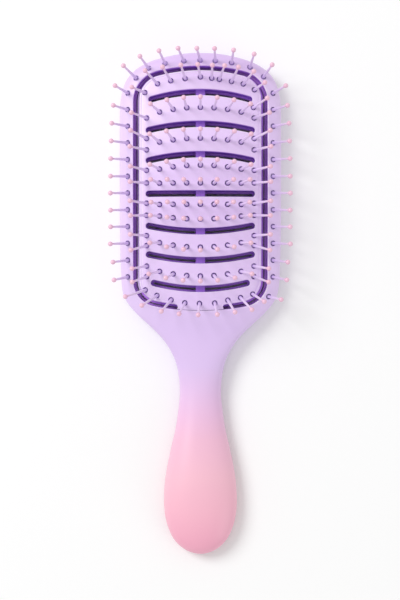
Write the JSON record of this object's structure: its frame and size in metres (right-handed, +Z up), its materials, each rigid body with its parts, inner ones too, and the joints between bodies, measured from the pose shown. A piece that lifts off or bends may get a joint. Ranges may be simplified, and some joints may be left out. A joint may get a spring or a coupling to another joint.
{
  "type": "detangling brush",
  "caption": "Vented paddle brush with a flexing slotted panel, leaning ball-tipped pins on the panel and round the rim, and a tapered handle.",
  "frame": {"origin": "middle of the brush on the plane that its back rests on", "axes": "+X across the head, +Y from the handle to the top of the head, +Z up towards the pins"},
  "size_m": [0.0894, 0.2482, 0.0375],
  "materials": {
    "shell_plastic": "satin",
    "grille_plastic": "matte",
    "pin_plastic": "satin",
    "tip_plastic": "gloss",
    "leaf_steel": "brushed"
  },
  "bodies": {
    "handle_frame": {"frame": "shell_plastic", "back_shell": "shell_plastic", "rim_strip": "pin_plastic", "rim_tips": "tip_plastic", "return_leaf": "leaf_steel"},
    "flex_panel": {"panel": "shell_plastic", "panel_back": "grille_plastic", "spine": "grille_plastic", "pin_strip_a": "pin_plastic", "pin_strip_b": "pin_plastic", "pin_strip_c": "pin_plastic", "pin_strip_d": "pin_plastic", "pin_strip_e": "pin_plastic", "pin_strip_f": "pin_plastic", "pin_strip_g": "pin_plastic", "pin_strip_h": "pin_plastic", "tips_a": "tip_plastic", "tips_b": "tip_plastic", "tips_c": "tip_plastic", "tips_d": "tip_plastic", "tips_e": "tip_plastic", "tips_f": "tip_plastic", "tips_g": "tip_plastic", "tips_h": "tip_plastic"}
  },
  "joints": [
    {"name": "panel_flex", "type": "hinge", "parent": "handle_frame", "child": "flex_panel", "pos_m": [0, -0.00578, 0.011], "axis": [1, 0, 0], "range_deg": [-2.5, 1], "stiffness_Nm_per_rad": 4}
  ]
}
